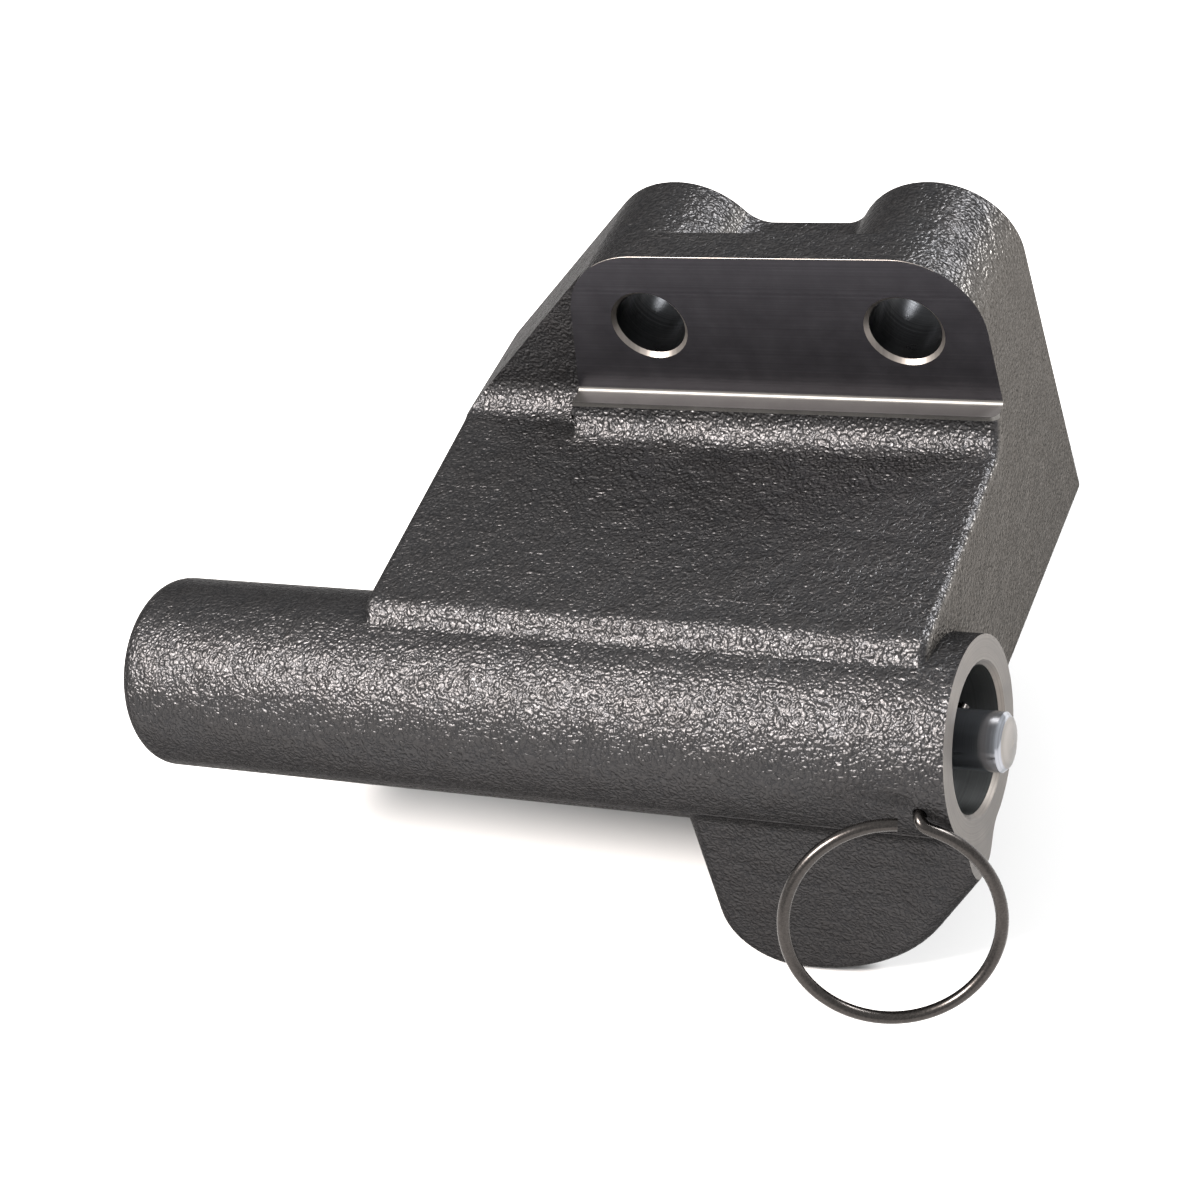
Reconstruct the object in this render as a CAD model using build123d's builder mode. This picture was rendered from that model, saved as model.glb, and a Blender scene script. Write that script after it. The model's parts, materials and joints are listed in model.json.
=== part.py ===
from build123d import *

import os
from math import acos, asin, atan2, cos, degrees, hypot, radians, sin, sqrt, tan

# Hydraulic belt tensioner: a cast iron body with a push rod, held shut by a pull pin.
# Millimetres. X runs along the cylinder, out of its mouth. Y runs from the machined
# mounting face into the bracket. Z is up. The origin is the middle of the two bolt
# holes, on the mounting face.
os.makedirs("parts", exist_ok=True)

# Cylinder tube of the casting
tube_r = 12.15
tube_length = 110.6
tube_y = -35.5
tube_z = -30.6
mouth_x = 30.5
tube_end_round = 3.0

# Mounting face and its two bolt bosses
bolt_spacing = 33.0
bolt_hole_r = 4.5
bolt_hole_chamfer = 0.5
boss_r = 10.3
pad_front_y = -2.5
pad_floor_z = -10.5
pad_foot_x = -29.8
pad_foot_z = -14.0
pad_round = 1.2
mill_corner_r = 0.6
flange_back_y = 5.0
valley_z = 4.0
spot_face_r = 8.0
spot_face_y = 15.9

# Bracket plate, wall and base
plate_left_x = -46.5
wall_right_x = bolt_spacing / 2 + boss_r
wall_front_y = 1.5
plate_front_y = -36.15
plate_front_z = -16.4
plate_rear_z = -13.8
flank_foot_z = -14.9
back_top_y = 16.3
back_foot_y = 19.2
base_z = -38.4
cast_fillet = 4.0
nose_round = 2.8
step_fillet = 2.5
base_fillet = 3.0
left_round = 1.6
right_round = 1.2
back_round = 1.4

# Pocket cast into the underside
pocket_roof_z = -23.0
side_wall = 6.5
rear_wall = 8.5
pocket_round = 4.0
pocket_draw = 6.0
pocket_taper = 2.0

# Lug under the tube
lug_front = -10.0
lug_back = -3.5
lug_left_x = -4.8
lug_bottom_z = -64.2
lug_slope_x = 16.6
lug_slope = 54.0
lug_left_round = 9.0
lug_right_round = 24.0
lug_edge_round = 2.4
lug_fillet = 3.5

# Bore, as depths from the mouth and radii
bore_r = 8.6
mouth_chamfer = 0.6
groove_r = 9.3
groove_depth = 6.0
groove_width = 1.1
seal_depth = groove_depth + groove_width
seal_width = 5.0
guide_depth = seal_depth + seal_width
guide_width = 8.0
chamber_depth = guide_depth + guide_width
chamber_r = 8.0
sleeve_seat_depth = 92.5
bore_depth = 100.5

# Push rod and the pieces that move with it
rod_r = 3.5
rod_reach = 4.0
rod_nose_chamfer = 0.55
rod_dome = 0.45
rod_travel = 10.5
rod_head_r = 4.6
rod_head_width = 2.3
running_gap = 0.04
wear_ring_width = 5.0
wear_notch_r = 1.2
wear_ring_depth = chamber_depth + rod_travel + 0.1
rod_head_depth = wear_ring_depth + wear_ring_width
plunger_depth = rod_head_depth + rod_head_width
plunger_length = 28.0
plunger_end = plunger_depth + plunger_length
plunger_r = 5.0
plunger_cap = 2.0
plunger_bore_r = 2.6
oil_hole_r = 0.8

# Check valve in the end of the plunger
valve_r = 3.4
valve_recess = 3.0
valve_width = 2.0
valve_depth = plunger_end - valve_recess
seat_depth = valve_depth + valve_width
seat_hole_r = 1.0
seat_chamfer = 0.6
ball_r = 1.5
ball_gap = 0.015
ball_depth = seat_depth - seat_chamfer - seat_hole_r + (ball_r + ball_gap) * sqrt(2)
cage_r = 2.3
cage_wall = 0.4
cage_length = 4.2
cage_end = seat_depth + cage_length
cage_window = 1.5
cage_port_r = 0.55
ball_wire_r = 0.14
ball_coil_r = 0.9
ball_turns = 3
ball_spring_start = ball_depth + sqrt((ball_r + ball_wire_r + ball_gap) ** 2 - ball_coil_r**2)
ball_spring_end = cage_end - cage_wall - ball_wire_r - ball_gap

# Sleeve and return spring
sleeve_depth = 44.0
sleeve_r = 6.5
sleeve_floor_depth = bore_depth - 3.0
spring_wire_r = 0.65
spring_coil_r = 4.05
spring_turns = 8
coil_steps = 12
wire_sides = 6

# Seal, guide and snap ring
seal_case_wall = 0.7
seal_flange_r = 5.2
garter_depth = seal_depth + 3.2
lip_r = rod_r + running_gap + 0.02
dust_lip_width = 0.4
lip_neck_r = 4.3
lip_neck_depth = seal_depth + 1.2
lip_back_depth = garter_depth + 1.1
lip_back_r = 4.6
lip_seat_r = 4.75
lip_web_depth = seal_depth + 1.8
lip_web_r = 5.0
lip_rim_r = 6.6
garter_r = 5.25
garter_wire_r = 0.45
bush_r = 5.0
o_ring_groove_r = 7.3
o_ring_groove_width = 2.4
o_ring_depth = guide_depth + 3.1
o_ring_side_gap = 0.1
o_ring_corner = 0.4
lead_in = 0.3
snap_ring_r = 9.2
snap_ring_inner_r = 7.7
snap_ring_width = 1.0
snap_gap = 3.0
snap_lug_r = 1.45
snap_hole_r = 0.6
snap_lug_angles = (75, 30)

# Pull pin, bent from one wire
pin_r = 0.76
pin_sides = 10
pin_hole_r = 0.85
pin_depth = 3.4
pin_tip = 5.0
pin_bend = -13.6
pin_bend_r = 1.3
ring_r = 12.3
ring_lift = 18.2
ring_turn = 23.9
ring_start = 52.0
ring_lead = 3.0
ring_sweep = 337.0
pin_travel = 120.0
slot_play = rod_travel / pin_travel * (pin_tip + rod_r) + 0.15

# Planes, axes and places that the pieces share
tube_centre = (tube_y, tube_z)
tube_axis = Axis((0, tube_y, tube_z), (1, 0, 0))
turning_plane = Plane(origin=(mouth_x, tube_y, tube_z), x_dir=(-1, 0, 0), z_dir=(0, 1, 0))
pin_x = mouth_x - pin_depth
pin_plane = Plane(origin=(pin_x, tube_y, tube_z), x_dir=(1, 0, 0), z_dir=(0, -1, 0))
hole_places = [(-bolt_spacing / 2, 0), (bolt_spacing / 2, 0)]

# Stock that later cuts take away
trim_length = 3.0
lug_end_x = mouth_x + trim_length
cut_depth = 120.0
front_plane = Plane.XZ.offset(cut_depth / 2)


def polar(centre, radius, angle):
    """Point at an angle in degrees on a circle."""
    return (centre[0] + radius * cos(radians(angle)), centre[1] + radius * sin(radians(angle)))


def direction(start, end):
    """Angle in degrees from one point to another."""
    return degrees(atan2(end[1] - start[1], end[0] - start[0]))


def tangent_point(start, centre, radius):
    """Where the left tangent from a point touches a circle."""
    reach = hypot(centre[0] - start[0], centre[1] - start[1])
    heading = direction(start, centre) + degrees(asin(radius / reach))
    return polar(start, sqrt(reach**2 - radius**2), heading)


def fillet_centre(line_offset, fillet_r):
    """Distance along a line at which a fillet between the line and the tube is centred."""
    return sqrt((tube_r + fillet_r) ** 2 - (abs(line_offset) + fillet_r) ** 2)


def half_section(*points):
    """Outline of depths from the mouth and radii, ready to be turned about the tube axis."""
    with BuildSketch(turning_plane, mode=Mode.PRIVATE) as section:
        with BuildLine():
            Polyline(*points, close=True)
        make_face()
    return section.sketch


def coil_points(start_depth, end_depth, radius, turns):
    """Points of a coil round the tube axis, between two depths from the mouth."""
    steps = turns * coil_steps
    points = []
    for step in range(steps + 1):
        y, z = polar(tube_centre, radius, 360 * step / coil_steps)
        points.append((mouth_x - start_depth - (end_depth - start_depth) * step / steps, y, z))
    return points


# The pocket core leaves the back of the tube standing
with BuildPart() as pocket_core:
    pocket_length = back_foot_y - rear_wall - tube_y
    with BuildSketch(Plane.XY.offset(base_z - pocket_draw)):
        with Locations(((plate_left_x + wall_right_x) / 2, tube_y + pocket_length / 2)):
            Rectangle(wall_right_x - plate_left_x - 2 * side_wall, pocket_length)
        fillet(vertices(), pocket_round)
    extrude(amount=pocket_roof_z - base_z + pocket_draw, taper=pocket_taper)
    with BuildSketch(Plane.YZ.offset(plate_left_x)):
        with Locations(tube_centre):
            Circle(tube_r)
    extrude(amount=wall_right_x - plate_left_x, mode=Mode.SUBTRACT)

# The lug and the length of tube that it grows from
with BuildPart() as lug:
    front_drop = -fillet_centre(lug_front, lug_fillet)
    front_centre = (tube_y + lug_front - lug_fillet, tube_z + front_drop)
    back_side = lug_back + lug_fillet
    back_drop = -sqrt((tube_r + lug_fillet) ** 2 - back_side**2)
    back_centre = (tube_y + back_side, tube_z + back_drop)
    front_angle = direction(tube_centre, front_centre)
    back_angle = direction(tube_centre, back_centre)
    with BuildSketch(Plane.YZ.offset(lug_left_x)):
        with BuildLine():
            CenterArc(tube_centre, tube_r, back_angle, 360 + front_angle - back_angle)
            front_arc = CenterArc(front_centre, lug_fillet, front_angle + 180, -front_angle - 180)
            back_arc = CenterArc(back_centre, lug_fillet, 180, back_angle)
            Polyline(
                front_arc @ 1,
                (tube_y + lug_front, lug_bottom_z),
                (tube_y + lug_back, lug_bottom_z),
                back_arc @ 0,
            )
        make_face()
    extrude(amount=lug_end_x - lug_left_x)
    with BuildSketch(front_plane):
        with BuildLine():
            Polyline(
                (lug_left_x, 0),
                (lug_left_x, lug_bottom_z),
                (lug_slope_x, lug_bottom_z),
                (lug_end_x, lug_bottom_z + (lug_end_x - lug_slope_x) * tan(radians(lug_slope))),
                (lug_end_x, 0),
                close=True,
            )
        make_face()
        fillet(vertices().sort_by_distance((lug_left_x, lug_bottom_z))[0], lug_left_round)
        fillet(vertices().sort_by_distance((lug_slope_x, lug_bottom_z))[0], lug_right_round)
    extrude(amount=-cut_depth, mode=Mode.INTERSECT)
    side_edges = faces().filter_by(Axis.Y).edges()
    fillet(side_edges.filter_by(lambda e: e.center().X < lug_left_x + 0.1), lug_edge_round)


with BuildPart() as tensioner_body:
    # Side view: tube, plate with its stepped nose, wall and base
    plate_slope = direction((plate_front_y, plate_front_z), (wall_front_y, plate_rear_z))
    nose_centre = (plate_front_y + nose_round, plate_front_z - nose_round)
    nose_reach = hypot(nose_centre[0] - tube_y, nose_centre[1] - tube_z)
    step_reach = tube_r + step_fillet
    step_link = nose_round + step_fillet
    step_cos = (step_reach**2 + nose_reach**2 - step_link**2) / (2 * step_reach * nose_reach)
    step_angle = direction(tube_centre, nose_centre) + degrees(acos(step_cos))
    step_centre = polar(tube_centre, step_reach, step_angle)
    nose_angle = direction(nose_centre, step_centre)
    base_centre = (tube_y + fillet_centre(base_z - tube_z, base_fillet), base_z - base_fillet)
    base_angle = direction(tube_centre, base_centre)
    with BuildSketch(Plane.YZ.offset(plate_left_x)):
        with BuildLine():
            nose = CenterArc(nose_centre, nose_round, nose_angle, 90 + plate_slope - nose_angle)
            CenterArc(step_centre, step_fillet, step_angle - 180, nose_angle - step_angle)
            base_arc = CenterArc(base_centre, base_fillet, 180 + base_angle, -90 - base_angle)
            Polyline(polar(tube_centre, tube_r, step_angle), tube_centre, base_arc @ 0)
            Polyline(
                nose @ 1,
                (wall_front_y, (nose @ 1).Y + (wall_front_y - (nose @ 1).X) * tan(radians(plate_slope))),
                (wall_front_y, boss_r + 1),
                (back_top_y, boss_r + 1),
                (back_foot_y, base_z),
                base_arc @ 1,
            )
        make_face()
        wall_foot = vertices().sort_by_distance((wall_front_y, plate_rear_z))[0]
        fillet(wall_foot, cast_fillet)
    extrude(amount=wall_right_x - plate_left_x)
    left_face = faces().sort_by(Axis.X)[0]
    left_edges = left_face.edges().filter_by(lambda e: plate_front_z < e.center().Z < plate_rear_z)
    fillet(left_edges.sort_by(SortBy.LENGTH)[-1], left_round)

    # Front view: two bosses and the left flank
    flank_foot = (plate_left_x, flank_foot_z)
    flank_head = tangent_point(flank_foot, hole_places[0], boss_r)
    flank_angle = direction(hole_places[0], flank_head)
    with BuildSketch(front_plane):
        with BuildLine():
            Polyline(
                (wall_right_x, 0),
                (wall_right_x, tube_z - tube_r - 1),
                (plate_left_x, tube_z - tube_r - 1),
                flank_foot,
                flank_head,
            )
            left_crown = CenterArc(hole_places[0], boss_r, flank_angle, 90 - flank_angle)
            Line(left_crown @ 1, (bolt_spacing / 2, boss_r))
            CenterArc(hole_places[1], boss_r, 90, -90)
        make_face()
    extrude(amount=-cut_depth, mode=Mode.INTERSECT)

    # Pad that carries the mounting face, standing proud of the wall
    heel_y = pad_front_y - cast_fillet - 2
    heel_z = (nose @ 1).Y + (heel_y - (nose @ 1).X) * tan(radians(plate_slope))
    pad_foot = heel_z + (pad_front_y - heel_y) * tan(radians(plate_slope))
    with BuildSketch(Plane.YZ.offset(pad_foot_x), mode=Mode.PRIVATE) as pad_side:
        with BuildLine():
            Polyline(
                (heel_y, heel_z),
                (pad_front_y, pad_foot),
                (pad_front_y, boss_r + 1),
                (flange_back_y, boss_r + 1),
                (flange_back_y, plate_rear_z - 5),
                (heel_y, plate_rear_z - 5),
                close=True,
            )
        make_face()
        fillet(vertices().sort_by_distance((pad_front_y, pad_foot))[0], cast_fillet)
    pad_head = tangent_point((pad_foot_x, pad_foot_z), hole_places[0], boss_r)
    pad_angle = direction(hole_places[0], pad_head)
    with BuildSketch(front_plane, mode=Mode.PRIVATE) as pad_front:
        with BuildLine():
            Polyline(
                (wall_right_x, 0),
                (wall_right_x, base_z),
                (pad_foot_x, base_z),
                (pad_foot_x, pad_foot_z),
                pad_head,
            )
            pad_corner = CenterArc(hole_places[0], boss_r, pad_angle, 90 - pad_angle)
            Line(pad_corner @ 1, (bolt_spacing / 2, boss_r))
            CenterArc(hole_places[1], boss_r, 90, -90)
        make_face()
    pad_run = extrude(pad_side.sketch, amount=wall_right_x - pad_foot_x, mode=Mode.PRIVATE)
    pad_rise = extrude(pad_front.sketch, amount=-cut_depth, mode=Mode.PRIVATE)
    pad = pad_run.intersect(pad_rise).solid()
    foot_edges = pad.edges().filter_by(lambda e: e.center().X < pad_foot_x + 0.01)
    add(pad.fillet(pad_round, foot_edges.filter_by(lambda e: e.center().Y < pad_front_y + 0.01)))

    # Valley between the bosses, behind the straight front flange
    with BuildSketch(Plane.XZ.offset(-flange_back_y)):
        with Locations((0, valley_z + boss_r)):
            Rectangle(bolt_spacing, 2 * boss_r)
        with Locations(*hole_places):
            Circle(boss_r, mode=Mode.SUBTRACT)
        fillet(vertices().group_by(Axis.Y)[0], cast_fillet)
    extrude(amount=-30, mode=Mode.SUBTRACT)

    # Milled mounting face, with the step that the cutter leaves at its foot
    with BuildSketch(Plane.YZ.offset(plate_left_x)):
        with Locations((0, pad_floor_z)):
            Rectangle(20, 40, align=(Align.MAX, Align.MIN))
        fillet(vertices().group_by(Axis.X)[-1].sort_by(Axis.Y)[0], mill_corner_r)
    extrude(amount=100, mode=Mode.SUBTRACT)

    # Rounded edges of the casting: back, left of the plate, right of the plate
    back_face = faces().filter_by(lambda f: f.normal_at().Y > 0.9).sort_by(SortBy.AREA)[-1]
    fillet(back_face.edges().filter_by(lambda e: e.center().Z > base_z + 5), back_round)
    right_face = faces().filter_by(lambda f: f.normal_at().X > 0.99).sort_by(SortBy.AREA)[-1]
    right_edges = right_face.edges().filter_by(lambda e: tube_z < e.center().Z < pad_floor_z)
    plate_edges = right_edges.filter_by(lambda e: abs(e.tangent_at(0.5).Y) > 0.9)
    fillet(plate_edges.sort_by(SortBy.LENGTH)[-1], right_round)

    # Pocket, tube and lug, then the machined end face
    add(pocket_core.part, mode=Mode.SUBTRACT)
    with BuildSketch(Plane.YZ.offset(mouth_x - tube_length)):
        with Locations(tube_centre):
            Circle(tube_r)
    extrude(amount=tube_length + trim_length)
    fillet(faces().sort_by(Axis.X)[0].edges(), tube_end_round)
    add(lug.part)
    with BuildSketch(Plane.YZ.offset(mouth_x)):
        with Locations(tube_centre):
            Rectangle(100, 100)
    extrude(amount=10, mode=Mode.SUBTRACT)

    # Bore, with its snap ring groove and the seat of the sleeve
    bore_section = half_section(
        (-1, 0),
        (-1, bore_r + mouth_chamfer + 1),
        (mouth_chamfer, bore_r),
        (groove_depth, bore_r),
        (groove_depth, groove_r),
        (seal_depth, groove_r),
        (seal_depth, bore_r),
        (chamber_depth, bore_r),
        (chamber_depth, chamber_r),
        (sleeve_seat_depth, chamber_r),
        (sleeve_seat_depth, sleeve_r),
        (bore_depth, sleeve_r),
        (bore_depth, 0),
    )
    revolve(bore_section, axis=tube_axis, mode=Mode.SUBTRACT)

    # Hole for the pull pin, through the front wall only
    with BuildSketch(pin_plane):
        Circle(pin_hole_r)
    extrude(amount=tube_r + 5, mode=Mode.SUBTRACT)

    # Bolt holes with chamfered rims, and the spot faces behind them
    with BuildSketch(Plane.XZ):
        with Locations(*hole_places):
            Circle(bolt_hole_r)
    extrude(amount=-2 * back_foot_y, mode=Mode.SUBTRACT)
    with BuildSketch(Plane.XZ.offset(-spot_face_y)):
        with Locations(*hole_places):
            Circle(spot_face_r)
    extrude(amount=-back_foot_y, mode=Mode.SUBTRACT)
    hole_rims = edges().filter_by(GeomType.CIRCLE).filter_by(
        lambda e: abs(e.radius - bolt_hole_r) < 0.01 and abs(e.center().Y) < 0.01
    )
    chamfer(hole_rims, bolt_hole_chamfer)

with BuildPart() as snap_ring:
    groove_start = (mouth_x - groove_depth, tube_y, tube_z)
    with BuildSketch(Plane(origin=groove_start, x_dir=(0, 1, 0), z_dir=(-1, 0, 0))):
        Circle(snap_ring_r)
        Circle(snap_ring_inner_r, mode=Mode.SUBTRACT)
        with PolarLocations(snap_ring_inner_r, 2, *snap_lug_angles, endpoint=True):
            Circle(snap_lug_r)
        with Locations((0, snap_ring_r)):
            Rectangle(snap_gap, 2 * snap_ring_r - 2 * snap_lug_r - snap_ring_inner_r, mode=Mode.SUBTRACT)
        with PolarLocations(snap_ring_inner_r, 2, *snap_lug_angles, endpoint=True):
            Circle(snap_hole_r, mode=Mode.SUBTRACT)
    extrude(amount=snap_ring_width)

with BuildPart() as oil_seal_case:
    case_section = half_section(
        (seal_depth, seal_flange_r),
        (seal_depth, bore_r),
        (guide_depth, bore_r),
        (guide_depth, bore_r - seal_case_wall),
        (seal_depth + seal_case_wall, bore_r - seal_case_wall),
        (seal_depth + seal_case_wall, seal_flange_r),
    )
    revolve(case_section, axis=tube_axis)

with BuildPart() as oil_seal_lip:
    lip_section = half_section(
        (seal_depth, seal_flange_r),
        (seal_depth + dust_lip_width, lip_r),
        (lip_neck_depth, lip_neck_r),
        (garter_depth, lip_r),
        (lip_back_depth, lip_back_r),
        (garter_depth, lip_seat_r),
        (lip_web_depth, lip_web_r),
        (lip_web_depth, lip_rim_r),
        (seal_depth + seal_case_wall, lip_rim_r),
        (seal_depth + seal_case_wall, seal_flange_r),
    )
    revolve(lip_section, axis=tube_axis)

with BuildPart() as seal_garter_spring:
    with BuildSketch(turning_plane):
        with Locations((garter_depth, garter_r)):
            RegularPolygon(garter_wire_r, wire_sides)
    revolve(axis=tube_axis)

with BuildPart() as rod_guide:
    guide_section = half_section(
        (guide_depth, bush_r),
        (guide_depth, bore_r),
        (o_ring_depth, bore_r),
        (o_ring_depth, o_ring_groove_r),
        (o_ring_depth + o_ring_groove_width, o_ring_groove_r),
        (o_ring_depth + o_ring_groove_width, bore_r),
        (chamber_depth, bore_r),
        (chamber_depth, bush_r),
    )
    revolve(guide_section, axis=tube_axis)

with BuildPart() as guide_bush:
    bush_bore_r = rod_r + running_gap
    bush_section = half_section(
        (guide_depth, bush_bore_r + lead_in),
        (guide_depth + lead_in, bush_bore_r),
        (chamber_depth - lead_in, bush_bore_r),
        (chamber_depth, bush_bore_r + lead_in),
        (chamber_depth, bush_r),
        (guide_depth, bush_r),
    )
    revolve(bush_section, axis=tube_axis)

with BuildPart() as guide_o_ring:
    with BuildSketch(turning_plane):
        with Locations((o_ring_depth + o_ring_groove_width / 2, (o_ring_groove_r + bore_r) / 2)):
            Rectangle(o_ring_groove_width - 2 * o_ring_side_gap, bore_r - o_ring_groove_r)
        chamfer(vertices(), o_ring_corner)
    revolve(axis=tube_axis)

with BuildPart() as push_rod:
    with BuildSketch(turning_plane):
        with BuildLine():
            nose_edge = (-rod_reach + rod_dome, rod_r - rod_nose_chamfer)
            TangentArc((-rod_reach, 0), nose_edge, tangent=(0, 1))
            Polyline(
                nose_edge,
                (-rod_reach + rod_dome + rod_nose_chamfer, rod_r),
                (rod_head_depth, rod_r),
                (rod_head_depth, rod_head_r),
                (plunger_depth, rod_head_r),
                (plunger_depth, 0),
                (-rod_reach, 0),
            )
        make_face()
    revolve(axis=tube_axis)
    with BuildSketch(Plane.XZ.offset(-tube_y)):
        with Locations((pin_x - slot_play / 2, tube_z)):
            SlotOverall(2 * pin_hole_r + slot_play, 2 * pin_hole_r)
    extrude(amount=2 * rod_r, both=True, mode=Mode.SUBTRACT)

with BuildPart() as wear_ring:
    with BuildSketch(Plane.YZ.offset(mouth_x - rod_head_depth)):
        with Locations(tube_centre):
            Circle(chamber_r - running_gap)
            Circle(rod_r + running_gap, mode=Mode.SUBTRACT)
            with PolarLocations(chamber_r, 4, start_angle=45):
                Circle(wear_notch_r, mode=Mode.SUBTRACT)
    extrude(amount=wear_ring_width)

with BuildPart() as plunger:
    plunger_section = half_section(
        (plunger_depth, 0),
        (plunger_depth, plunger_r - lead_in),
        (plunger_depth + lead_in, plunger_r),
        (plunger_end, plunger_r),
        (plunger_end, valve_r),
        (valve_depth, valve_r),
        (valve_depth, plunger_bore_r),
        (plunger_depth + plunger_cap, plunger_bore_r),
        (plunger_depth + plunger_cap, 0),
    )
    revolve(plunger_section, axis=tube_axis)
    with BuildSketch(Plane.XZ.offset(-tube_y)):
        with Locations((mouth_x - plunger_depth - plunger_cap - 2 * oil_hole_r, tube_z)):
            Circle(oil_hole_r)
    extrude(amount=2 * plunger_r, both=True, mode=Mode.SUBTRACT)

with BuildPart() as valve_seat:
    seat_section = half_section(
        (valve_depth, seat_hole_r),
        (valve_depth, valve_r),
        (seat_depth, valve_r),
        (seat_depth, seat_hole_r + seat_chamfer),
        (seat_depth - seat_chamfer, seat_hole_r),
    )
    revolve(seat_section, axis=tube_axis)

with BuildPart() as check_ball:
    with Locations((mouth_x - ball_depth, tube_y, tube_z)):
        Sphere(ball_r)

with BuildPart() as ball_cage:
    cage_section = half_section(
        (seat_depth, cage_r - cage_wall),
        (seat_depth, valve_r),
        (seat_depth + cage_wall, valve_r),
        (seat_depth + cage_wall, cage_r),
        (cage_end, cage_r),
        (cage_end, cage_port_r),
        (cage_end - cage_wall, cage_port_r),
        (cage_end - cage_wall, cage_r - cage_wall),
    )
    revolve(cage_section, axis=tube_axis)
    with BuildSketch(Plane.XZ.offset(-tube_y)):
        with Locations((mouth_x - (seat_depth + cage_end) / 2, tube_z)):
            SlotOverall(cage_length / 2, cage_window)
    extrude(amount=2 * cage_r, both=True, mode=Mode.SUBTRACT)

with BuildPart() as ball_spring:
    with BuildLine():
        ball_coil = Polyline(*coil_points(ball_spring_start, ball_spring_end, ball_coil_r, ball_turns))
    with BuildSketch(Plane(origin=ball_coil @ 0, z_dir=ball_coil % 0)):
        RegularPolygon(ball_wire_r, wire_sides)
    sweep(transition=Transition.RIGHT)

with BuildPart() as return_spring:
    spring_start = plunger_end + spring_wire_r
    spring_end = sleeve_floor_depth - spring_wire_r
    with BuildLine():
        return_coil = Polyline(*coil_points(spring_start, spring_end, spring_coil_r, spring_turns))
    with BuildSketch(Plane(origin=return_coil @ 0, z_dir=return_coil % 0)):
        RegularPolygon(spring_wire_r, wire_sides)
    sweep(transition=Transition.RIGHT)

with BuildPart() as cylinder_sleeve:
    sleeve_bore_r = plunger_r + running_gap
    sleeve_section = half_section(
        (sleeve_depth, sleeve_bore_r + lead_in),
        (sleeve_depth + lead_in, sleeve_bore_r),
        (sleeve_floor_depth, sleeve_bore_r),
        (sleeve_floor_depth, 0),
        (bore_depth, 0),
        (bore_depth, sleeve_r),
        (sleeve_depth, sleeve_r),
    )
    revolve(sleeve_section, axis=tube_axis)

# The pull pin is one wire: a straight leg, a bend, a short lead and an open ring
with BuildPart() as pull_pin:
    tilt = radians(ring_lift)
    turn = radians(ring_turn)
    ring_right = Vector(cos(turn), sin(turn), 0)
    ring_normal = Vector(cos(tilt) * sin(turn), -cos(tilt) * cos(turn), sin(tilt))
    ring_up = ring_normal.cross(ring_right)
    start_angle = radians(ring_start)
    lead_direction = ring_right * sin(start_angle) - ring_up * cos(start_angle)
    inward = (ring_right * cos(start_angle) + ring_up * sin(start_angle)) * -1
    leg_direction = Vector(0, -1, 0)
    pin_start = Vector(pin_x, tube_y + pin_tip, tube_z)
    pin_corner = Vector(pin_x, tube_y + pin_bend, tube_z)
    ring_centre = pin_corner + lead_direction * ring_lead + inward * ring_r
    ring_plane = Plane(origin=ring_centre, x_dir=ring_right, z_dir=ring_normal)
    bend_trim = pin_bend_r * tan(radians(leg_direction.get_angle(lead_direction)) / 2)
    ring_angles = (ring_start, ring_start - ring_sweep / 2, ring_start - ring_sweep)
    ring_points = [ring_plane.from_local_coords(polar((0, 0), ring_r, angle)) for angle in ring_angles]
    with BuildLine():
        leg = Line(pin_start, pin_corner - leg_direction * bend_trim)
        bend = TangentArc(leg @ 1, pin_corner + lead_direction * bend_trim, tangent=leg_direction)
        Line(bend @ 1, ring_points[0])
        ThreePointArc(*ring_points)
    with BuildSketch(Plane(origin=pin_start, z_dir=leg_direction)):
        RegularPolygon(pin_r, pin_sides)
    sweep()

tensioner_body.part.label = "tensioner_body"
snap_ring.part.label = "snap_ring"
oil_seal_case.part.label = "oil_seal_case"
oil_seal_lip.part.label = "oil_seal_lip"
seal_garter_spring.part.label = "seal_garter_spring"
rod_guide.part.label = "rod_guide"
guide_bush.part.label = "guide_bush"
guide_o_ring.part.label = "guide_o_ring"
push_rod.part.label = "push_rod"
wear_ring.part.label = "wear_ring"
plunger.part.label = "plunger"
valve_seat.part.label = "valve_seat"
check_ball.part.label = "check_ball"
ball_cage.part.label = "ball_cage"
ball_spring.part.label = "ball_spring"
return_spring.part.label = "return_spring"
cylinder_sleeve.part.label = "cylinder_sleeve"
pull_pin.part.label = "pull_pin"
export_step(tensioner_body.part, "parts/tensioner_body.step")
export_step(snap_ring.part, "parts/snap_ring.step")
export_step(oil_seal_case.part, "parts/oil_seal_case.step")
export_step(oil_seal_lip.part, "parts/oil_seal_lip.step")
export_step(seal_garter_spring.part, "parts/seal_garter_spring.step")
export_step(rod_guide.part, "parts/rod_guide.step")
export_step(guide_bush.part, "parts/guide_bush.step")
export_step(guide_o_ring.part, "parts/guide_o_ring.step")
export_step(push_rod.part, "parts/push_rod.step")
export_step(wear_ring.part, "parts/wear_ring.step")
export_step(plunger.part, "parts/plunger.step")
export_step(valve_seat.part, "parts/valve_seat.step")
export_step(check_ball.part, "parts/check_ball.step")
export_step(ball_cage.part, "parts/ball_cage.step")
export_step(ball_spring.part, "parts/ball_spring.step")
export_step(return_spring.part, "parts/return_spring.step")
export_step(cylinder_sleeve.part, "parts/cylinder_sleeve.step")
export_step(pull_pin.part, "parts/pull_pin.step")
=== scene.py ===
import json
import math

import bmesh
import bpy
from mathutils import Matrix, Vector


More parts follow.
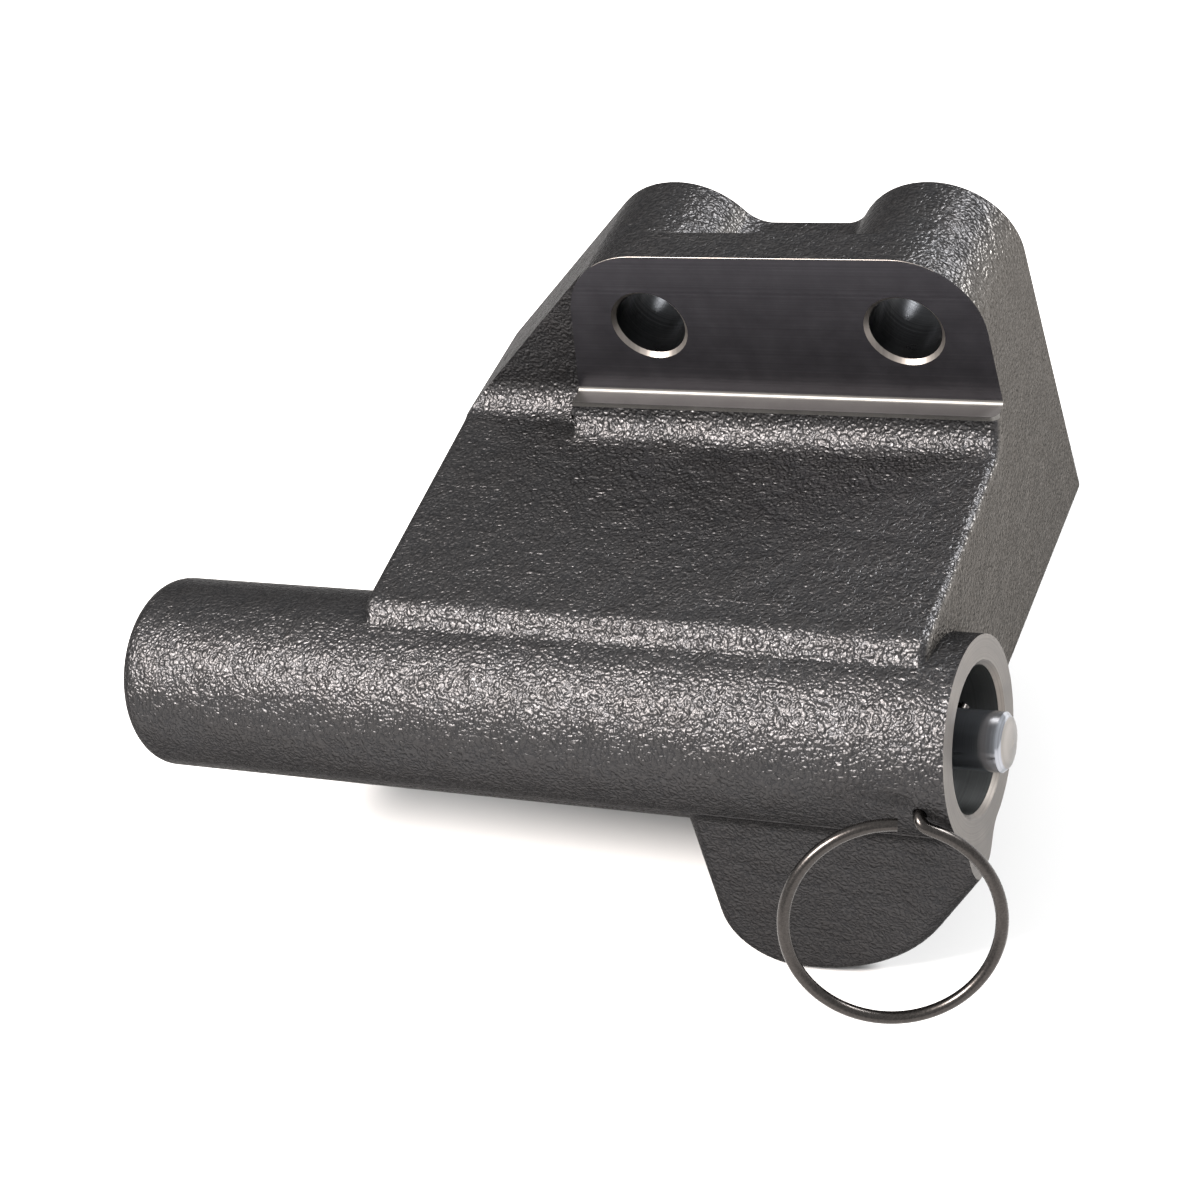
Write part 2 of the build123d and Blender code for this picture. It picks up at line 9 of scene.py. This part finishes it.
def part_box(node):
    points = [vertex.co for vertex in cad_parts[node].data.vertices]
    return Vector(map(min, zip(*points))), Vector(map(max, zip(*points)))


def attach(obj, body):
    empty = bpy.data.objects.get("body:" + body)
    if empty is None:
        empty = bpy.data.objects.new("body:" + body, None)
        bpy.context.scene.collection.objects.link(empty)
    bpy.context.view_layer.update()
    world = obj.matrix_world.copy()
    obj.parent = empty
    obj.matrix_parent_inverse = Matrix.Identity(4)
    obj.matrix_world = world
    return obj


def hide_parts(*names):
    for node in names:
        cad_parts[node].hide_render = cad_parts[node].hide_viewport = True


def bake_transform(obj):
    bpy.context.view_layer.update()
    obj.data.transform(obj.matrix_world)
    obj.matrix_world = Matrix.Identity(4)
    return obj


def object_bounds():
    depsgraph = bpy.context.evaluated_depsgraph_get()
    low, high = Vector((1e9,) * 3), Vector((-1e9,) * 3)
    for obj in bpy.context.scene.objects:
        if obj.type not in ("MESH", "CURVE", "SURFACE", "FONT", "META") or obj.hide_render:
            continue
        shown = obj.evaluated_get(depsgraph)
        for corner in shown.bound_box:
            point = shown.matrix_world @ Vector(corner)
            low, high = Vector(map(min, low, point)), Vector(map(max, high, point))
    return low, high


# Hydraulic belt tensioner: the looks of its casting, push rod, pull pin and inner pieces
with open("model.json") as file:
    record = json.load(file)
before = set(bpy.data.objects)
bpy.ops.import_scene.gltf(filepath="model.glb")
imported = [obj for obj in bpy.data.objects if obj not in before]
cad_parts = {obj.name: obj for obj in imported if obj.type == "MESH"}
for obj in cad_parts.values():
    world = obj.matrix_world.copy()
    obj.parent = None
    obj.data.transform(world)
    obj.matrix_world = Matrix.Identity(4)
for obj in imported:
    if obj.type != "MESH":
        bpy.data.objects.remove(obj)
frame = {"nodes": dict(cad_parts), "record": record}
cad_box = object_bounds()
nodes = frame["nodes"]
scene = bpy.context.scene

# Blender works in metres, and the sizes here are in millimetres
MM = 0.001

# Places on the casting that the frame gives: the tube's axis, its mouth and the bolt holes
mounts = {mount["name"]: mount for mount in frame["record"]["mounts"]}
TUBE_Y, TUBE_Z = [value / MM for value in mounts["rod_tip"]["pos_m"][1:]]
MOUTH_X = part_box("tensioner_body")[1][0] / MM
HOLE_X = mounts["mounting_holes"]["dims"]["spacing_x_mm"] / 2
HOLE_R = mounts["mounting_holes"]["dims"]["hole_r_mm"]

# The casting's other sizes and places that its finishes are told apart by
MOUTH_CHAMFER = 0.6
BORE_R = 9.35
BORE_FLOOR_X = -70.5
RIM_CHAMFER = 0.5
SPOT_FACE_R = 8.0
SPOT_FACE_Y = 15.9
PAD_DEPTH = 3.0
PAD_FLOOR_Z = -10.5
CUTTER_CORNER_R = 0.6
PIN_X = 27.1
PIN_HOLE_R = 0.85
LUG_TOP_Z = -42.0
FLASH_Z = -35.8
FLASH_FRONT_Y = -43.5
FLANK_TOP_X = -23.6
SAME_PLACE = 0.03
WELD_GAP = 0.001

# How much of a face's normal lies along an axis when it looks straight that way, nearly so,
# mostly, partly, or barely
STRAIGHT = 0.99
NEARLY = 0.85
MOSTLY = 0.6
PARTLY = 0.3
BARELY = 0.02

# Edges bent by more than this stay sharp when a piece is shaded smooth
SHARP_ANGLE = math.radians(32)

# Edges bent by less than this only divide a flat face
FLAT_ANGLE = 0.001

# Places of the colour sockets on a Mix node, whose names repeat for its other kinds of value
SHARE, FIRST_COLOUR, SECOND_COLOUR = 0, 6, 7
MIXED_COLOUR = 2


def linear(hex_colour):
    """A colour picked in sRGB, as the linear values that a shader takes."""
    parts = [int(hex_colour[i : i + 2], 16) / 255 for i in (1, 3, 5)]
    return [c / 12.92 if c <= 0.04045 else ((c + 0.055) / 1.055) ** 2.4 for c in parts] + [1.0]


def add_node(tree, kind, settings, inputs):
    """One node: its settings, and for each input a value or the output that feeds it."""
    made = tree.nodes.new("ShaderNode" + kind)
    for name, value in settings.items():
        setattr(made, name, value)
    for place, value in inputs.items():
        if isinstance(value, bpy.types.NodeSocket):
            tree.links.new(value, made.inputs[place])
        else:
            made.inputs[place].default_value = value
    return made


def new_material(name):
    """An empty material, its tree, its output and its Object coordinates in millimetres."""
    material = bpy.data.materials.new(name)
    material.use_nodes = True
    tree = material.node_tree
    tree.nodes.clear()
    output = tree.nodes.new("ShaderNodeOutputMaterial")
    place = add_node(tree, "TexCoord", {}, {})
    scaled = add_node(
        tree, "VectorMath", {"operation": "SCALE"}, {0: place.outputs["Object"], "Scale": 1 / MM}
    )
    return material, tree, output, scaled.outputs[0]


def shot_blasted_iron():
    """Grey cast iron, shot blasted and lightly oiled: a dark skin of rounded lumps that glint."""
    material, tree, output, in_mm = new_material("Shot blasted grey iron")
    # Sand grains leave rounded lumps about 0.4 mm across with creases between them,
    # the shot a finer pitting of 0.3 mm, and the mould wall itself is uneven over 4 mm
    sand = add_node(
        tree, "TexNoise", {}, {"Vector": in_mm, "Scale": 1.3, "Detail": 1.0, "Roughness": 0.5}
    )
    pits = add_node(
        tree, "TexNoise", {}, {"Vector": in_mm, "Scale": 3.2, "Detail": 1.5, "Roughness": 0.5}
    )
    waves = add_node(
        tree, "TexNoise", {}, {"Vector": in_mm, "Scale": 0.26, "Detail": 2.0, "Roughness": 0.5}
    )
    # The creases lie where the noise crosses its middle
    from_crease = add_node(tree, "Math", {"operation": "SUBTRACT"}, {0: sand.outputs[0], 1: 0.5})
    lumps = add_node(tree, "Math", {"operation": "ABSOLUTE"}, {0: from_crease.outputs[0]})
    pitted = add_node(
        tree,
        "Math",
        {"operation": "MULTIPLY_ADD"},
        {0: pits.outputs[0], 1: 0.16, 2: lumps.outputs[0]},
    )
    wall = add_node(
        tree,
        "Math",
        {"operation": "MULTIPLY_ADD"},
        {0: waves.outputs[0], 1: 0.9, 2: pitted.outputs[0]},
    )
    # Parting line of the mould, a ground-off flash 1 mm wide along the tube and the lug
    axes = add_node(tree, "SeparateXYZ", {}, {0: in_mm})
    above_line = add_node(tree, "Math", {"operation": "SUBTRACT"}, {0: axes.outputs[2], 1: FLASH_Z})
    from_line = add_node(tree, "Math", {"operation": "ABSOLUTE"}, {0: above_line.outputs[0]})
    flash = add_node(
        tree,
        "MapRange",
        {"interpolation_type": "SMOOTHSTEP"},
        {"Value": from_line.outputs[0], "From Min": 0.0, "From Max": 0.5, "To Min": 0.5, "To Max": 0.0},
    )
    on_front = add_node(
        tree, "Math", {"operation": "LESS_THAN"}, {0: axes.outputs[1], 1: FLASH_FRONT_Y}
    )
    height = add_node(
        tree,
        "Math",
        {"operation": "MULTIPLY_ADD"},
        {0: flash.outputs[0], 1: on_front.outputs[0], 2: wall.outputs[0]},
    )
    bump = add_node(
        tree, "Bump", {}, {"Strength": 1.0, "Distance": 0.43 * MM, "Height": height.outputs[0]}
    )
    # Faces that look to the right, above the lug, take a lighter, flatter speckled tone: painted light
    # on the side wall
    surface = add_node(tree, "TexCoord", {}, {})
    facing = add_node(tree, "SeparateXYZ", {}, {0: surface.outputs["Normal"]})
    right_facing_painted_light = add_node(
        tree,
        "MapRange",
        {"interpolation_type": "SMOOTHSTEP"},
        {"Value": facing.outputs[0], "From Min": 0.65, "From Max": 0.98},
    )
    above_lug = add_node(
        tree, "Math", {"operation": "GREATER_THAN"}, {0: axes.outputs[2], 1: LUG_TOP_Z}
    )
    painted_light_share = add_node(
        tree, "Math", {"operation": "MULTIPLY"}, {0: right_facing_painted_light.outputs[0], 1: above_lug.outputs[0]}
    )
    # Elsewhere the creases are painted only a little darker than the lumps, as painted shade in the
    # creases
    tone = add_node(tree, "ValToRGB", {}, {"Fac": lumps.outputs[0]})
    # A lighter speckled tone, painted light for the right-facing side wall
    lit_side_tone = add_node(tree, "ValToRGB", {}, {"Fac": pits.outputs[0]})
    for ramp, dark_at, dark, light_at, light in (
        (tone.color_ramp, 0.0, "#2D2E30", 0.07, "#3A3A3B"),
        (lit_side_tone.color_ramp, 0.30, "#575552", 0.72, "#6D6A67"),
    ):
        ramp.elements[0].position = dark_at
        ramp.elements[0].color = linear(dark)
        ramp.elements[1].position = light_at
        ramp.elements[1].color = linear(light)
    # Painted light: the right-facing side wall takes the lighter tone
    side = add_node(
        tree,
        "Mix",
        {"data_type": "RGBA"},
        {
            SHARE: painted_light_share.outputs[0],
            FIRST_COLOUR: tone.outputs[0],
            SECOND_COLOUR: lit_side_tone.outputs[0],
        },
    )
    # Handling warms the skin in slow patches
    bloom = add_node(tree, "Math", {"operation": "MULTIPLY"}, {0: waves.outputs[0], 1: 0.25})
    skin = add_node(
        tree,
        "Mix",
        {"data_type": "RGBA"},
        {
            SHARE: bloom.outputs[0],
            FIRST_COLOUR: side.outputs[MIXED_COLOUR],
            SECOND_COLOUR: linear("#3A3532"),
        },
    )
    gloss = add_node(
        tree,
        "MapRange",
        {},
        {"Value": pits.outputs[0], "From Min": 0.3, "From Max": 0.7, "To Min": 0.33, "To Max": 0.46},
    )
    # The oil and the dust in the creases take some of the bare metal's grazing shine
    iron = add_node(
        tree,
        "BsdfPrincipled",
        {},
        {
            "Base Color": skin.outputs[MIXED_COLOUR],
            "Metallic": 0.9,
            "Specular Tint": linear("#909090"),
            "Roughness": gloss.outputs[0],
            "Normal": bump.outputs[0],
        },
    )
    tree.links.new(iron.outputs[0], output.inputs[0])
    return material


def finish_material(tree, output, patterns, colours, metallic, roughness, bump_strength, depth):
    """Ends a tree: three patterns set its tone between two colours, its gloss and its relief.

    The gloss runs between two values of roughness, and the relief is depth millimetres deep.
    """
    toned, glossed, raised = patterns
    dark, light = colours
    smoothest, roughest = roughness
    tone = add_node(
        tree,
        "Mix",
        {"data_type": "RGBA"},
        {SHARE: toned, FIRST_COLOUR: linear(dark), SECOND_COLOUR: linear(light)},
    )
    gloss = add_node(
        tree, "MapRange", {}, {"Value": glossed, "To Min": smoothest, "To Max": roughest}
    )
    bump = add_node(
        tree, "Bump", {}, {"Strength": bump_strength, "Distance": depth * MM, "Height": raised}
    )
    shader = add_node(
        tree,
        "BsdfPrincipled",
        {},
        {
            "Base Color": tone.outputs[MIXED_COLOUR],
            "Metallic": metallic,
            "Roughness": gloss.outputs[0],
            "Normal": bump.outputs[0],
        },
    )
    tree.links.new(shader.outputs[0], output.inputs[0])


def cut_iron(name, dark, light, roughness, direction, mark_spacing, mark_depth):
    """Cut cast iron: fine tool marks, mark_spacing apart, that cross the given direction.

    The direction is X, Y or Z, or RADIUS for the rings of a facing cut about the tube.
    """
    material, tree, output, in_mm = new_material(name)
    if direction == "RADIUS":
        from_axis = add_node(
            tree, "VectorMath", {"operation": "SUBTRACT"}, {0: in_mm, 1: (MOUTH_X, TUBE_Y, TUBE_Z)}
        )
        radius = add_node(tree, "VectorMath", {"operation": "LENGTH"}, {0: from_axis.outputs[0]})
        across = radius.outputs["Value"]
    else:
        across = add_node(tree, "SeparateXYZ", {}, {0: in_mm}).outputs["XYZ".index(direction)]
    marks = add_node(
        tree,
        "TexNoise",
        {"noise_dimensions": "1D"},
        {"W": across, "Scale": 1 / mark_spacing, "Detail": 2.0, "Roughness": 0.6},
    )
    # Each mark fades in and out over a few millimetres, and wiped oil clouds the metal
    cloud = add_node(
        tree, "TexNoise", {}, {"Vector": in_mm, "Scale": 0.3, "Detail": 3.0, "Roughness": 0.6}
    )
    worn = add_node(
        tree, "Math", {"operation": "MULTIPLY"}, {0: marks.outputs[0], 1: cloud.outputs[0]}
    )
    finish_material(
        tree,
        output,
        patterns=(worn.outputs[0], cloud.outputs[0], marks.outputs[0]),
        colours=(dark, light),
        metallic=0.95,
        roughness=(roughness - 0.08, roughness + 0.08),
        bump_strength=0.7,
        depth=mark_depth,
    )
    return material


def turned_piece(name, dark, light, metallic, roughness, ring_spacing):
    """A small turned, ground or moulded piece: faint rings cross the tube's axis."""
    material, tree, output, in_mm = new_material(name)
    axes = add_node(tree, "SeparateXYZ", {}, {0: in_mm})
    rings = add_node(
        tree,
        "TexNoise",
        {"noise_dimensions": "1D"},
        {"W": axes.outputs[0], "Scale": 1 / ring_spacing, "Detail": 2.0},
    )
    finish_material(
        tree,
        output,
        patterns=[rings.outputs[0]] * 3,
        colours=(dark, light),
        metallic=metallic,
        roughness=(roughness - 0.06, roughness + 0.06),
        bump_strength=0.3,
        depth=0.006,
    )
    return material


def drawn_wire(name, dark, light, roughness):
    """Drawn and coiled spring wire: a dull skin with scuffs 0.25 mm across."""
    material, tree, output, in_mm = new_material(name)
    scuffs = add_node(
        tree, "TexNoise", {}, {"Vector": in_mm, "Scale": 4.0, "Detail": 3.0, "Roughness": 0.6}
    )
    finish_material(
        tree,
        output,
        patterns=[scuffs.outputs[0]] * 3,
        colours=(dark, light),
        metallic=1.0,
        roughness=(roughness - 0.08, roughness + 0.1),
        bump_strength=0.35,
        depth=0.012,
    )
    return material


def welded(node):
    """A copy of a CAD node, its loose triangles welded into one skin."""
    shape = bmesh.new()
    shape.from_mesh(nodes[node].data)
    bmesh.ops.remove_doubles(shape, verts=shape.verts, dist=WELD_GAP * MM)
    return shape


def bevel(shape, edges, width, segments, material):
    """Edges of a bmesh bevelled by width millimetres; a material of -1 keeps its faces' own."""
    bmesh.ops.bevel(
        shape,
        geom=edges,
        offset=width * MM,
        offset_type="OFFSET",
        affect="EDGES",
        segments=segments,
        profile=0.5,
        material=material,
        clamp_overlap=True,
    )


def new_piece(shape, name, materials):
    """A bmesh made into a smooth-shaded object, its sharp edges kept."""
    for edge in shape.edges:
        edge.smooth = edge.calc_face_angle(0.0) < SHARP_ANGLE
    for face in shape.faces:
        face.smooth = True
    mesh = bpy.data.meshes.new(name)
    shape.to_mesh(mesh)
    shape.free()
    for material in materials:
        mesh.materials.append(material)
    piece = bpy.data.objects.new(name, mesh)
    scene.collection.objects.link(piece)
    return piece


def stand_for(piece, body, node):
    """The piece rides on a body and replaces a CAD node."""
    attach(piece, body)
    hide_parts(node)


# The casting, with each cut place in its own finish
SKIN, MILLED_PAINTED_SHADE, CUTTER_FLOOR, FACED, BORED, DRILLED_PAINTED_SHADE, FRESH_CUT = range(7)


def casting_finish(place, normal):
    """Which finish a face of the casting has, from its middle in millimetres and its normal."""
    from_tube = math.hypot(place.y - TUBE_Y, place.z - TUBE_Z)
    from_hole = math.hypot(abs(place.x) - HOLE_X, place.z)
    from_pin = math.hypot(place.x - PIN_X, place.z - TUBE_Z)
    from_floor = abs(place.z - PAD_FLOOR_Z)
    # The bolt holes with their fresh front rims, and the spot faces at their backs
    if from_hole < HOLE_R + RIM_CHAMFER:
        return FRESH_CUT if place.y < RIM_CHAMFER else DRILLED_PAINTED_SHADE
    if from_hole < SPOT_FACE_R + SAME_PLACE and place.y > SPOT_FACE_Y - SAME_PLACE:
        return DRILLED_PAINTED_SHADE
    # The mounting face, and the floor and rounded corner that the cutter leaves at its foot
    if abs(place.y) < SAME_PLACE and normal.y < -STRAIGHT:
        return MILLED_PAINTED_SHADE
    if from_floor < CUTTER_CORNER_R and -PAD_DEPTH < place.y < 0 and normal.z > BARELY:
        return CUTTER_FLOOR
    # The tube's faced end, then the mouth's chamfer and the bore
    if place.x > MOUTH_X - SAME_PLACE and normal.x > STRAIGHT:
        return FACED
    if from_tube < BORE_R and place.x > BORE_FLOOR_X:
        return FACED if place.x > MOUTH_X - MOUTH_CHAMFER else BORED
    # The pull pin's hole
    if from_pin < PIN_HOLE_R and place.y < TUBE_Y:
        return DRILLED_PAINTED_SHADE
    return SKIN


shape = welded("tensioner_body")
for face in shape.faces:
    face.material_index = casting_finish(face.calc_center_median() / MM, face.normal)

# The cutter leaves a fine bright burr where the milled face runs out into the skin above it.
# The edges that only divide the flat milled face go first, to leave its bevel room
inner_edges = [
    edge
    for edge in shape.edges
    if edge.calc_face_angle(1.0) < FLAT_ANGLE
    and any(face.material_index == MILLED_PAINTED_SHADE for face in edge.link_faces)
]
bmesh.ops.dissolve_edges(shape, edges=inner_edges, use_verts=False)
burr = [
    edge
    for edge in shape.edges
    if {face.material_index for face in edge.link_faces} == {MILLED_PAINTED_SHADE, SKIN}
    and max(face.normal.z for face in edge.link_faces) > NEARLY
]
bevel(shape, burr, width=0.035, segments=1, material=FRESH_CUT)

# The left flank runs into the front of the wall over a rounded edge: one face of it
# looks left, one looks up, and one looks to the front
flank_front = [
    edge
    for edge in shape.edges
    if edge.calc_face_angle(0.0) > SHARP_ANGLE
    and max(vert.co.x for vert in edge.verts) < FLANK_TOP_X * MM
    and min(face.normal.x for face in edge.link_faces) < -MOSTLY
    and max(face.normal.z for face in edge.link_faces) > MOSTLY
    and min(face.normal.y for face in edge.link_faces) < -PARTLY
]
bevel(shape, flank_front, width=2.4, segments=5, material=-1)

# Each cut's two colours, its roughness, and its marks' direction, spacing and depth. To the eye,
# milling leaves level lines on a face painted dark as painted shade above a paler floor, facing
# leaves rings about the bore, boring leaves pale bands along it, the holes are painted dark as
# painted shade in them, and a freshly cut edge is a thin light line
cuts = [
    # Painted shade: the milled face is painted dark
    cut_iron("Milled grey iron in painted shade", "#323135", "#48474B", 0.38, "Z", 0.35, 0.010),
    cut_iron("Cutter floor in grey iron", "#595856", "#7C7A78", 0.44, "Y", 0.25, 0.012),
    cut_iron("Faced grey iron", "#55514E", "#8E8983", 0.38, "RADIUS", 0.22, 0.012),
    cut_iron("Bored grey iron", "#5E6060", "#7C7E7E", 0.42, "X", 0.3, 0.012),
    # Painted shade: the hole walls are painted dark
    cut_iron("Drilled grey iron in painted shade", "#232426", "#434446", 0.30, "Y", 0.4, 0.02),
    cut_iron("Freshly cut iron edge", "#605C59", "#8C8782", 0.42, "X", 0.5, 0.006),
]
casting = new_piece(shape, "casting", [shot_blasted_iron()] + cuts)
stand_for(casting, "housing", "tensioner_body")

# The push rod: hard chrome makes its side a near mirror, and its crowned end is left ground,
# duller and a little warmer
CHROMED, GROUND = range(2)
shape = welded("push_rod")
for face in shape.faces:
    face.material_index = GROUND if face.normal.x > 0.9 else CHROMED
rod_finishes = [
    turned_piece("Hard chromed ground steel", "#7E8187", "#989BA1", 0.95, 0.15, 0.12),
    turned_piece("Ground rod end", "#706E6B", "#8E8B88", 1.0, 0.38, 0.2),
]
rod = new_piece(shape, "chromed_rod", rod_finishes)
stand_for(rod, "piston", "push_rod")

# What shows inside the mouth: tempered steel has a dark and dull gleam, the pressed case is
# grey and smooth, and nitrile rubber is black with hardly any shine
tempered = drawn_wire("Oil tempered spring steel", "#2E2E31", "#55555A", 0.34)
pressed = turned_piece("Pressed seal case steel", "#38393B", "#54555A", 1.0, 0.36, 0.4)
rubber = turned_piece("Nitrile rubber", "#0E0E10", "#1A1A1C", 0.0, 0.55, 0.5)
shown_inside = {
    "snap_ring": ("spring_clip", tempered, "spring_steel"),
    "oil_seal_case": ("seal_case", pressed, "seal_case_steel"),
    "oil_seal_lip": ("seal_lip", rubber, "seal_rubber"),
}
for node, (name, material, slot) in shown_inside.items():
    stand_for(new_piece(welded(node), name, [material]), "housing", node)

# The pieces sealed inside keep their CAD shapes: bearing bronze is a warm brown, turned and
# hardened steel are pale with faint rings, and the wear ring's nylon is near black and half matt
bronze = turned_piece("Bored bearing bronze", "#8E6E42", "#A98752", 1.0, 0.33, 0.25)
guide_steel = turned_piece("Turned guide steel", "#77777A", "#8E8E90", 1.0, 0.32, 0.2)
nylon = turned_piece("Moulded wear ring nylon", "#191817", "#242322", 0.0, 0.5, 0.8)
hardened = turned_piece("Ground hardened steel", "#86878A", "#A2A3A6", 1.0, 0.22, 0.1)
sealed_inside = {
    "seal_garter_spring": tempered,
    "rod_guide": guide_steel,
    "guide_bush": bronze,
    "guide_o_ring": rubber,
    "wear_ring": nylon,
    "plunger": hardened,
    "valve_seat": hardened,
    "check_ball": hardened,
    "ball_cage": pressed,
    "cylinder_sleeve": hardened,
}
for node, material in sealed_inside.items():
    nodes[node].data.materials.clear()
    nodes[node].data.materials.append(material)

# Each coil spring sits between the two bodies that it pushes apart
coil_springs = {
    "return_spring": ("plunger_coil", "housing", "piston"),
    "ball_spring": ("valve_coil", "piston", "check_valve"),
}
for node, (name, fixed_body, pushed_body) in coil_springs.items():
    coil = new_piece(welded(node), name, [tempered])
    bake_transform(coil)
    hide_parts(node)

# The pull pin, bent from one wire: leg, bend, lead and ring, as the CAD node has them
WIRE_R = 0.75
WIRE_SIDES = 20
LEG_START_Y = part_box("pull_pin")[1][1] / MM
BEND_Y = -49.1
BEND_R = 1.3
BEND_STEPS = 8
LEAD = 3.0
RING_R = 12.3
RING_LIFT = math.radians(18.2)
RING_TURN = math.radians(23.9)
RING_START = math.radians(52.0)
RING_SWEEP = math.radians(337.0)
RING_STEPS = 150

ring_right = Vector((math.cos(RING_TURN), math.sin(RING_TURN), 0))
ring_normal = Vector(
    (
        math.cos(RING_LIFT) * math.sin(RING_TURN),
        -math.cos(RING_LIFT) * math.cos(RING_TURN),
        math.sin(RING_LIFT),
    )
)
ring_up = ring_normal.cross(ring_right)
leg_way = Vector((0, -1, 0))
lead_way = ring_right * math.sin(RING_START) - ring_up * math.cos(RING_START)
inward = -(ring_right * math.cos(RING_START) + ring_up * math.sin(RING_START))
bend_angle = leg_way.angle(lead_way)
bend_axis = leg_way.cross(lead_way).normalized()
trim = BEND_R * math.tan(bend_angle / 2)
leg_start = Vector((PIN_X, LEG_START_Y, TUBE_Z))
leg_end = Vector((PIN_X, BEND_Y + trim, TUBE_Z))
bend_centre = leg_end + bend_axis.cross(leg_way) * BEND_R
lead_end = Vector((PIN_X, BEND_Y, TUBE_Z)) + lead_way * LEAD
ring_centre = lead_end + inward * RING_R


def draw_straight(shape, edges, path):
    """Draws edges along a path in millimetres, and gives the points and edges it ends in."""
    drawn = bmesh.ops.extrude_edge_only(shape, edges=edges)["geom"]
    points = [part for part in drawn if isinstance(part, bmesh.types.BMVert)]
    bmesh.ops.translate(shape, verts=points, vec=path * MM)
    return [part for part in drawn if not isinstance(part, bmesh.types.BMFace)]


def draw_round(shape, parts, centre, axis, angle, steps):
    """Turns points and edges about an axis through a centre, and gives the edges it ends in."""
    drawn = bmesh.ops.spin(
        shape, geom=parts, cent=centre * MM, axis=axis, angle=angle, steps=steps
    )["geom_last"]
    return [part for part in drawn if isinstance(part, bmesh.types.BMEdge)]


shape = bmesh.new()
across_leg = leg_way.to_track_quat("Z", "X").to_matrix().to_4x4()
bmesh.ops.create_circle(
    shape,
    radius=WIRE_R * MM,
    segments=WIRE_SIDES,
    matrix=Matrix.Translation(leg_start * MM) @ across_leg,
)
leg = draw_straight(shape, shape.edges[:], leg_end - leg_start)
bend = draw_round(shape, leg, bend_centre, bend_axis, bend_angle, BEND_STEPS)
lead = draw_straight(shape, bend, lead_way * (LEAD - trim))
draw_round(shape, lead, ring_centre, ring_normal, -RING_SWEEP, RING_STEPS)
bmesh.ops.holes_fill(shape, edges=[edge for edge in shape.edges if edge.is_boundary])
bmesh.ops.recalc_face_normals(shape, faces=shape.faces)

# Drawn wire is dark and smooth, and fine scuffs break up the glint along it
wire_finish = drawn_wire("Drawn spring steel wire", "#2B2928", "#4B4846", 0.26)
pin = new_piece(shape, "pull_ring_wire", [wire_finish])
stand_for(pin, "pull_pin", "pull_pin")

# Pale floor under the lowest point, reaching this many metres each way
FLOOR_REACH = 2.5
shape = bmesh.new()
floor_level = Matrix.Translation((0, 0, cad_box[0][2]))
bmesh.ops.create_grid(shape, x_segments=1, y_segments=1, size=FLOOR_REACH, matrix=floor_level)
floor_material, tree, output, _ = new_material("Pale matt floor")
matt = add_node(tree, "BsdfPrincipled", {}, {"Base Color": linear("#BFBFBF"), "Roughness": 0.9})
tree.links.new(matt.outputs[0], output.inputs[0])
floor = new_piece(shape, "floor", [floor_material])

# Soft studio lights on the middle of the part: a key from the front left and above, and a
# back light from behind right
aim = Vector((0, -15, -20)) * MM


def soft_light(name, direction, distance, size, power, colour):
    """A round lamp that looks at the part: distance and size in metres, power in watts."""
    data = bpy.data.lights.new(name, "AREA")
    data.shape = "DISK"
    data.size = size
    data.energy = power
    data.color = linear(colour)[:3]
    lamp = bpy.data.objects.new(name, data)
    lamp.location = aim + Vector(direction).normalized() * distance
    lamp.rotation_euler = (aim - lamp.location).to_track_quat("-Z", "Y").to_euler()
    scene.collection.objects.link(lamp)


soft_light("key", (-0.44, -0.52, 0.73), distance=0.9, size=0.30, power=29, colour="#FFF8F3")
soft_light("back", (0.55, 0.57, 0.61), distance=1.0, size=0.40, power=21, colour="#FFFFFF")

# An even white room all round
world = bpy.data.worlds.new("studio")
scene.world = world
world.use_nodes = True
room = world.node_tree.nodes["Background"]
room.inputs["Color"].default_value = linear("#FFFFFF")
room.inputs["Strength"].default_value = 1.0
scene.view_settings.view_transform = "Standard"

# Camera, from the same vanishing lines as the photograph; its place is in millimetres
CAMERA_PLACE = Vector((137.71, -255.72, 201.46))
CAMERA_WAY = Vector((-0.43919, 0.64418, -0.62622))
CAMERA_UP = Vector((-0.06214, 0.67359, 0.73649))
forward = CAMERA_WAY.normalized()
right = forward.cross(CAMERA_UP)
up = right.cross(forward)
turned = Matrix((right, up, -forward)).transposed().to_4x4()
camera_data = bpy.data.cameras.new("camera")
camera_data.lens = 88.29
camera_data.sensor_width = 36
camera_data.clip_start = 0.01
camera = bpy.data.objects.new("camera", camera_data)
camera.matrix_world = Matrix.Translation(CAMERA_PLACE * MM) @ turned
scene.collection.objects.link(camera)
scene.camera = camera
